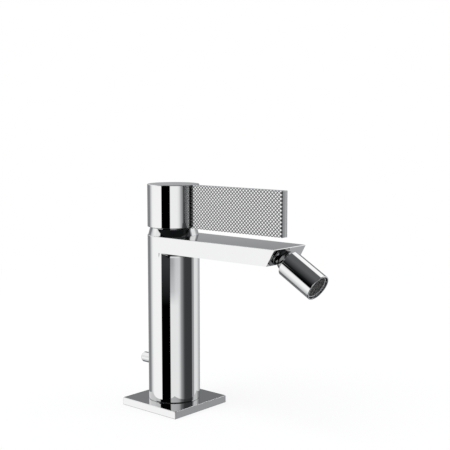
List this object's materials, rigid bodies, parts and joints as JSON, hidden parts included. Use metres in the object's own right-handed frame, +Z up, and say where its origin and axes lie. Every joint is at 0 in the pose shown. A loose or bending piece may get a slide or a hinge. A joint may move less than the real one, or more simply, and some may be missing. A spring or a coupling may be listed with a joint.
{
  "type": "bidet mixer",
  "caption": "Single-lever bidet mixer: square base plate, round column, flat spout bar with a ball-jointed nozzle, knurled lever plate on a round knob and a waste lift knob.",
  "frame": {"origin": "on the column's axis at deck level, in the mouth of the tapped hole for the fixing stud", "axes": "+X along the spout towards the user, +Z up along the column, +Y to the right seen from the user's end of the spout"},
  "size_m": [0.1755, 0.0574, 0.1734],
  "materials": {
    "chrome": "polished",
    "knurled_chrome": "polished knurl",
    "brass": "machined",
    "copper": "drawn tube",
    "rubber": "matt",
    "ceramic": "lapped ceramic",
    "white_plastic": "moulded",
    "grey_plastic": "moulded",
    "steel": "bright"
  },
  "bodies": {
    "tap_body": {"base_plate": "chrome", "base_gasket": "rubber", "body": "chrome", "inlet_foot": "brass", "supply_tubes": "copper", "base_seals": "rubber", "cartridge_base": "white_plastic", "fixed_disc": "ceramic", "cartridge_sleeve": "grey_plastic", "retaining_nut": "brass", "dome_cover": "chrome", "ball_bolt": "brass", "ball_seal": "rubber", "rod_guide": "white_plastic"},
    "turner": {"carriage": "white_plastic", "pivot_pin": "steel"},
    "disc": {"moving_disc": "ceramic", "disc_carrier": "grey_plastic"},
    "lever": {"stem": "steel", "knob": "chrome", "lever_plate": "chrome", "grip_panels": "knurled_chrome", "lever_screw": "steel", "grub_screw": "steel", "screw_plug": "grey_plastic"},
    "swivel": {"ball_washer": "white_plastic"},
    "nozzle": {"swivel_ball": "chrome", "nozzle_shell": "chrome", "aerator_seal": "rubber", "aerator_housing": "grey_plastic", "aerator_diffuser": "white_plastic", "aerator_screen": "steel"},
    "waste": {"lift_rod": "steel", "waste_knob": "chrome"}
  },
  "joints": [
    {"name": "lever_turn", "type": "hinge", "parent": "tap_body", "child": "turner", "pos_m": [0, 0, 0.1344], "axis": [0, 0, 1], "range_deg": [-45, 45]},
    {"name": "lever_lift", "type": "hinge", "parent": "turner", "child": "lever", "pos_m": [0, 0, 0.1344], "axis": [0, -1, 0], "range_deg": [0, 17]},
    {"name": "disc_slide", "type": "slide", "parent": "turner", "child": "disc", "axis": [1, 0, 0], "range_m": [0, 0.003]},
    {"name": "nozzle_spin", "type": "hinge", "parent": "tap_body", "child": "swivel", "pos_m": [0.11014, 0, 0.12393], "axis": [0.866, 0, -0.5], "continuous": true},
    {"name": "nozzle_tilt", "type": "hinge", "parent": "swivel", "child": "nozzle", "pos_m": [0.11014, 0, 0.12393], "axis": [0, 1, 0], "range_deg": [-18, 18]},
    {"name": "waste_lift", "type": "slide", "parent": "tap_body", "child": "waste", "axis": [0, 0, 1], "range_m": [0, 0.02]}
  ],
  "couplings": [
    {"joint": "disc_slide", "follows": "lever_lift", "m_per_rad": 0.00935}
  ]
}
